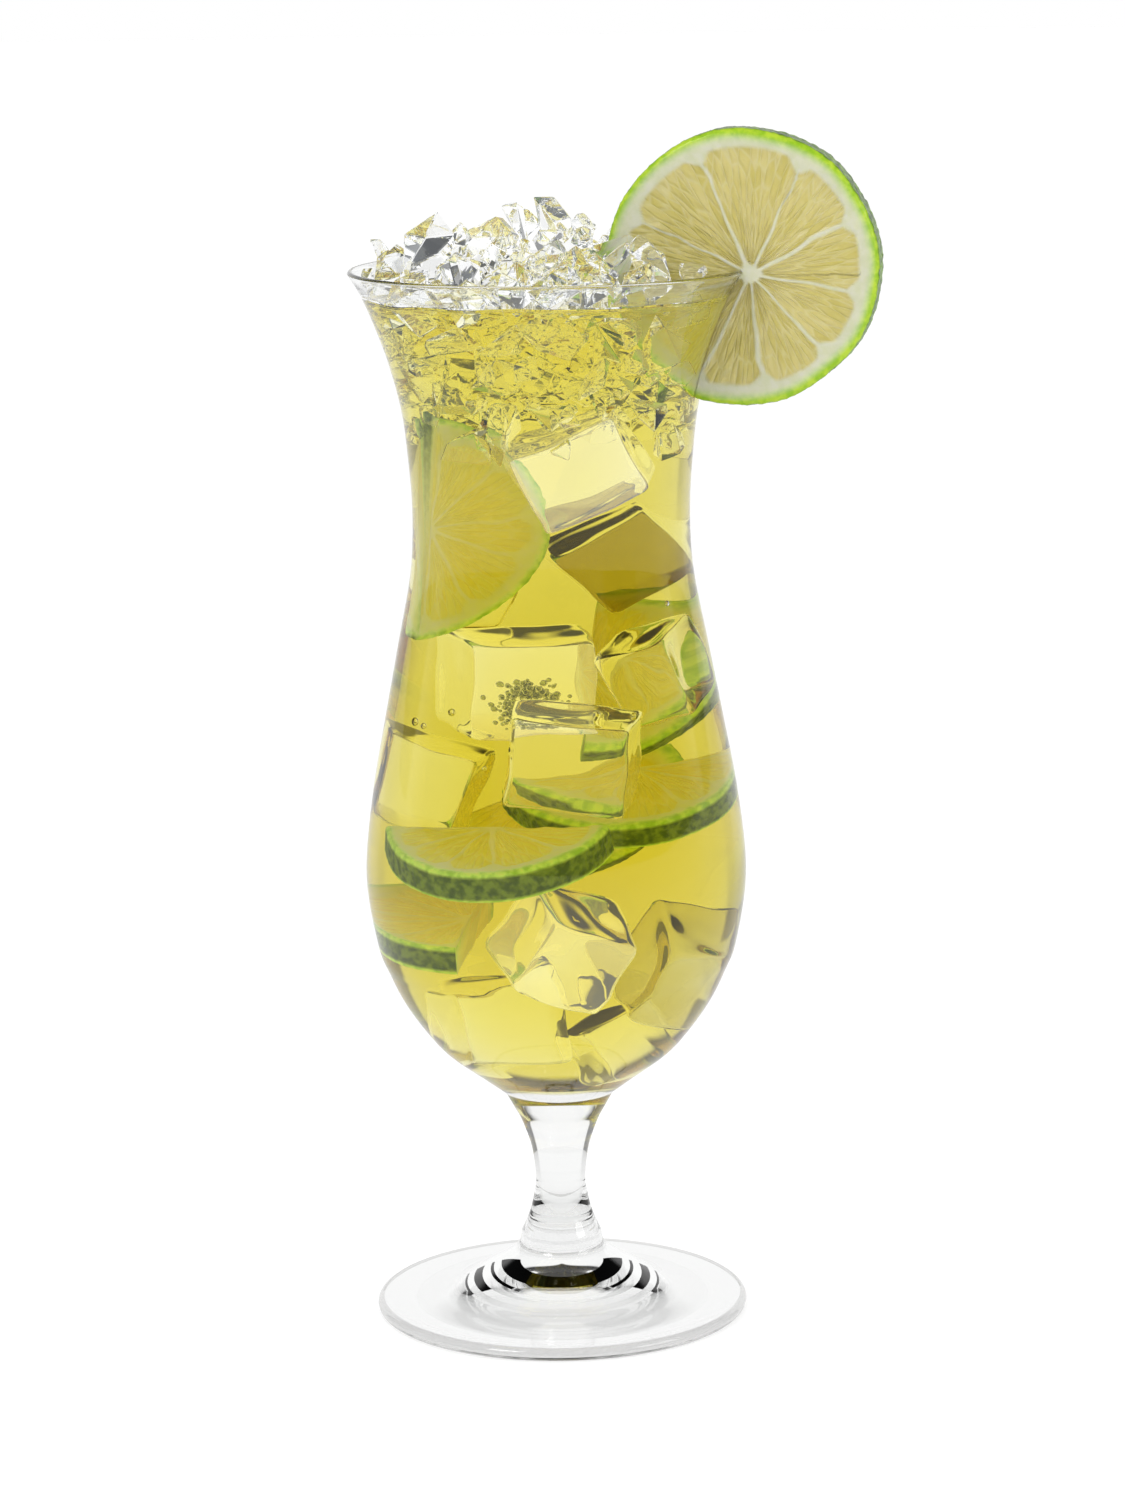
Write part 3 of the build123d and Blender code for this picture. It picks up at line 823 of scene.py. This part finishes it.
def cloud_spots(rng):
    """A ring of fine bubbles, scattered about a circle that faces the viewer."""
    spots = []
    for _ in range(CLOUD_COUNT):
        angle = rng.uniform(0, math.tau)
        out = Vector((math.cos(angle), rng.gauss(0, CLOUD_FLATNESS), math.sin(angle))) * CLOUD_RADIUS
        scatter = Vector(rng.gauss(0, CLOUD_SPREAD) for _ in range(3))
        spots.append((Vector(CLOUD_MIDDLE) + out + scatter, rng.uniform(*CLOUD_SIZES)))
    return spots


# The wheel on the rim: its membranes in degrees, and how far its core lies off its middle
WHEEL_THICKNESS = 0.008
WHEEL_MEMBRANES = (351, 28, 65, 114, 154, 197, 243, 275, 313)
WHEEL_CORE = (0.0020, -0.0013)

# Camera: its place, aim and lens are fitted to the rim and foot ellipses of the photograph
CAMERA_PLACE = Vector((0, -0.91723, 0.3006))
CAMERA_PITCH = math.radians(11.31)
CAMERA_YAW = math.radians(-0.10)
CAMERA_ROLL = math.radians(-0.8)
CAMERA_LENS = 110.66

# Studio, by a ray's way. By its upward part: where the dark ceiling starts and is full, and where the dark
# cards fade out. By its angle from straight behind the glass, in degrees: where the cards stand, how wide
# they are, and where the viewer's side starts, which is darker in mirrored light.
CEILING = (0.42, 0.56)
CARD_TOPS = (0.5, 0.6)
CARD_ANGLES = (57.0, 123.0)
CARD_SIDES = (13.0, 17.0)
CARD_DEPTH = 0.8
STUDIO_DARK = 0.96
VIEWER_SIDE = (60.0, 95.0)
VIEWER_SIDE_DARK = 0.85
MATT_LIGHT = 0.62

# Floor: its half side in metres, its own light, how much less of that the camera sees, and its sheen
FLOOR_SIZE = 6.0
FLOOR_GLOW = 0.86
FLOOR_GLOW_UNSEEN = 0.16
FLOOR_MATT = ((0.1, 0.1, 0.1), (0.5, 0.5, 0.5))
FLOOR_SHEEN = 0.5

# Lamps: name, place, size and power, and the point that they face
LAMPS = (("key", (-0.55, -0.6, 0.75), 0.35, 3.2), ("fill", (0.7, -0.35, 0.5), 0.4, 1.6))
LAMP_AIM = Vector((0, 0, 0.13))


def make_camera():
    """The camera that sees what the photograph shows."""
    data = bpy.data.cameras.new("camera")
    data.lens = CAMERA_LENS
    data.sensor_width = 36.0
    data.clip_end = 50
    camera = bpy.data.objects.new("camera", data)
    bpy.context.scene.collection.objects.link(camera)
    turn = Matrix.Rotation(CAMERA_YAW, 4, "Z") @ Matrix.Rotation(math.pi / 2 - CAMERA_PITCH, 4, "X")
    camera.matrix_world = Matrix.Translation(CAMERA_PLACE) @ turn @ Matrix.Rotation(CAMERA_ROLL, 4, "Z")
    bpy.context.scene.camera = camera


def make_world():
    """White all round, with a dark ceiling and dark cards for what the glass mirrors and bends."""
    world = bpy.data.worlds.new("studio")
    bpy.context.scene.world = world
    world.use_nodes = True
    s = Shader(world.node_tree)
    way = s.node("ShaderNodeTexCoord", output="Generated")
    x, y, z = (s.node("ShaderNodeSeparateXYZ", {0: way}, part) for part in "XYZ")
    angle = x.math("ABSOLUTE").math("ARCTAN2", y) * (180 / math.pi)
    dark = z.step(*CEILING)
    for card in CARD_ANGLES:
        strip = 1 - (angle - card).math("ABSOLUTE").step(*CARD_SIDES)
        dark = dark.math("MAXIMUM", strip * CARD_DEPTH * (1 - z.step(*CARD_TOPS)))
    mirrored = s.node("ShaderNodeLightPath", output="Is Reflection Ray")
    level = 1 - dark * STUDIO_DARK
    level = level * (1 - mirrored * angle.step(*VIEWER_SIDE) * VIEWER_SIDE_DARK)
    level = level.math("MAXIMUM", s.node("ShaderNodeLightPath", output="Is Camera Ray"))
    colour = s.node("ShaderNodeCombineXYZ", {"X": level, "Y": level, "Z": level})
    bright = s.node("ShaderNodeBackground", {"Color": colour, "Strength": 1.0})
    plain = s.node("ShaderNodeBackground", {"Color": WHITE, "Strength": MATT_LIGHT})
    diffuse = s.node("ShaderNodeLightPath", output="Is Diffuse Ray")
    surface = s.node("ShaderNodeMixShader", {0: diffuse, 1: bright, 2: plain})
    s.finish(surface, kind="ShaderNodeOutputWorld")


def make_floor():
    """A white floor that keeps a light shadow and a faint reflection."""
    bm = bmesh.new()
    bmesh.ops.create_grid(bm, x_segments=2, y_segments=2, size=FLOOR_SIZE)
    material, s = new_material("pale_floor")
    seen = s.node("ShaderNodeLightPath", output="Is Camera Ray")
    diffuse = s.node("ShaderNodeBsdfDiffuse", {"Color": s.mix(seen, *FLOOR_MATT)})
    glow = s.node("ShaderNodeEmission", {"Color": WHITE, "Strength": FLOOR_GLOW - seen * FLOOR_GLOW_UNSEEN})
    matt = s.node("ShaderNodeAddShader", {0: diffuse, 1: glow})
    gloss = s.node("ShaderNodeBsdfGlossy", {"Roughness": 0.02, "Color": WHITE})
    sheen = s.node("ShaderNodeFresnel", {"IOR": 1.3}) * FLOOR_SHEEN
    s.finish(s.node("ShaderNodeMixShader", {0: sheen, 1: matt, 2: gloss}))
    floor = finish_mesh("floor", bm, material, smooth=False)


def make_lamps():
    """Two soft lamps for the highlights."""
    for name, place, size, power in LAMPS:
        data = bpy.data.lights.new(name, "AREA")
        data.size = size
        data.energy = power
        lamp = bpy.data.objects.new(name, data)
        lamp.location = place
        lamp.rotation_euler = (LAMP_AIM - Vector(place)).to_track_quat("-Z", "Y").to_euler()
        lamp.visible_transmission = False
        bpy.context.scene.collection.objects.link(lamp)


make_camera()
make_world()
make_lamps()
make_floor()

clear_glass = clear_solid("clear_glass", GLASS_IOR, GLASS_TINT)
wetted_glass = clear_solid("wetted_glass", GLASS_IOR / DRINK_IOR, GLASS_TINT)
painted_shade_foot_edge = clear_solid("painted_shade_foot_edge", GLASS_IOR, (0.62, 0.62, 0.61))
painted_foot_shade = painted_shade_material()
# Ice glows a little as painted light; the pale cubes glow most
cube_ice = clear_solid("cube_ice", ICE_IN_DRINK_IOR, CLEAR, (1.0, 0.95, 0.66), 0.025)
pale_ice = clear_solid("pale_ice", ICE_IN_DRINK_IOR, CLEAR, (0.60, 0.63, 1.0), 0.13)
wet_ice = clear_solid("wet_ice", GRAIN_IN_DRINK_IOR, CLEAR, (0.60, 0.80, 1.0), 0.017)
dry_ice = clear_solid("dry_ice", ICE_IN_AIR_IOR, CLEAR, (0.88, 0.94, 1.0), 0.032)
flaw = clear_solid("flaw", 1 / ICE_IN_AIR_IOR, (0.42, 0.44, 0.16))
# The waist cube's dark olive tint is painted shade, as if limes and ice shaded it
painted_shade_ice = clear_solid("painted_shade_ice", ICE_IN_DRINK_IOR, (0.54, 0.47, 0.11))
smoky_ice = clear_solid("smoky_ice", ICE_IN_DRINK_IOR, (0.78, 0.75, 0.62))
bubble = clear_solid("bubble", 1 / DRINK_IOR, CLEAR)
cut_lime = lime_material("cut_lime")

glass = make_glass(clear_glass, wetted_glass, painted_foot_shade, painted_shade_foot_edge)
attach(glass, GLASS_BODY)
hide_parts("bowl", "flare", "stem", "foot")

# The vector noise on the cubes has a seed of its own, which is the clock unless it is set
noise.seed_set(SEED)
rng = random.Random(SEED)
cube_nodes = sorted(node for node in frame["nodes"] if node.startswith("ice_cube"))
ice_of = {node: pale_ice for node in PALE_CUBES}
ice_of["ice_cube_waist_back"] = painted_shade_ice
ice_of["ice_cube_lower_right"] = smoky_ice
cubes = []
for node in cube_nodes:
    cubes.append(make_cube(node, ice_of.get(node, cube_ice)))
# The waist cube, tinted dark olive as painted shade, has no hollow in the drink, so the drink's colour lies
# over that tint
drink = make_drink(drink_material(), [cube for cube in cubes if "waist" not in cube.name])
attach(drink, GLASS_BODY)
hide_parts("drink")

make_bubbles("bubbles", [(Vector(point), radius) for point, radius in BUBBLES], bubble)
make_bubbles("ice_bubbles", cloud_spots(rng), flaw)
blocks = [(*box_frame(node), False) for node in cube_nodes]
slices = sorted({node.rsplit("_", 1)[0] for node in frame["nodes"] if node.startswith("lime_slice")})
for name in slices:
    frame_of = lime_frame(name)
    lime = make_lime(name, frame_of, math.pi, cut_lime, rng, rings=50, turns=150)
    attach(lime, GLASS_BODY)
    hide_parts(name + "_peel", name + "_pith", name + "_pulp")
    centre, across, up, normal, radius, thickness = frame_of
    blocks.append((centre, (across, up, normal), (radius, 0.0, thickness / 2), True))

low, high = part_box("lime_wheel_peel")
joint_way = Vector(frame["record"]["behaviour"]["joints"][0]["axis"])
outward = Vector((joint_way.x, joint_way.y, 0)).normalized()
wheel_radius = (high[2] - low[2]) / 2
wheel_centre = Vector(((low[0] + high[0]) / 2, (low[1] + high[1]) / 2, (low[2] + high[2]) / 2))
wheel_axes = (outward, Vector((0, 0, 1)), outward.cross(Vector((0, 0, 1))))
wheel_frame = (wheel_centre, *wheel_axes, wheel_radius, WHEEL_THICKNESS)
wheel = make_lime("garnish_wheel", wheel_frame, math.tau, cut_lime, rng, rings=80, turns=340,
                  starts=[math.radians(v) for v in WHEEL_MEMBRANES], core_shift=WHEEL_CORE, shrink=0.1)
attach(wheel, WHEEL_BODY)
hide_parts("lime_wheel_peel", "lime_wheel_pith", "lime_wheel_pulp")
blocks.append((wheel_centre, wheel_axes, (wheel_radius, wheel_radius, WHEEL_THICKNESS / 2), True))
make_chips(rng, blocks, wet_ice, dry_ice)

scene = bpy.context.scene
scene.view_settings.view_transform = "Standard"
scene.cycles.max_bounces = 32
scene.cycles.transmission_bounces = 32
scene.cycles.transparent_max_bounces = 48
scene.cycles.glossy_bounces = 8
scene.cycles.diffuse_bounces = 3
scene.cycles.volume_bounces = 0
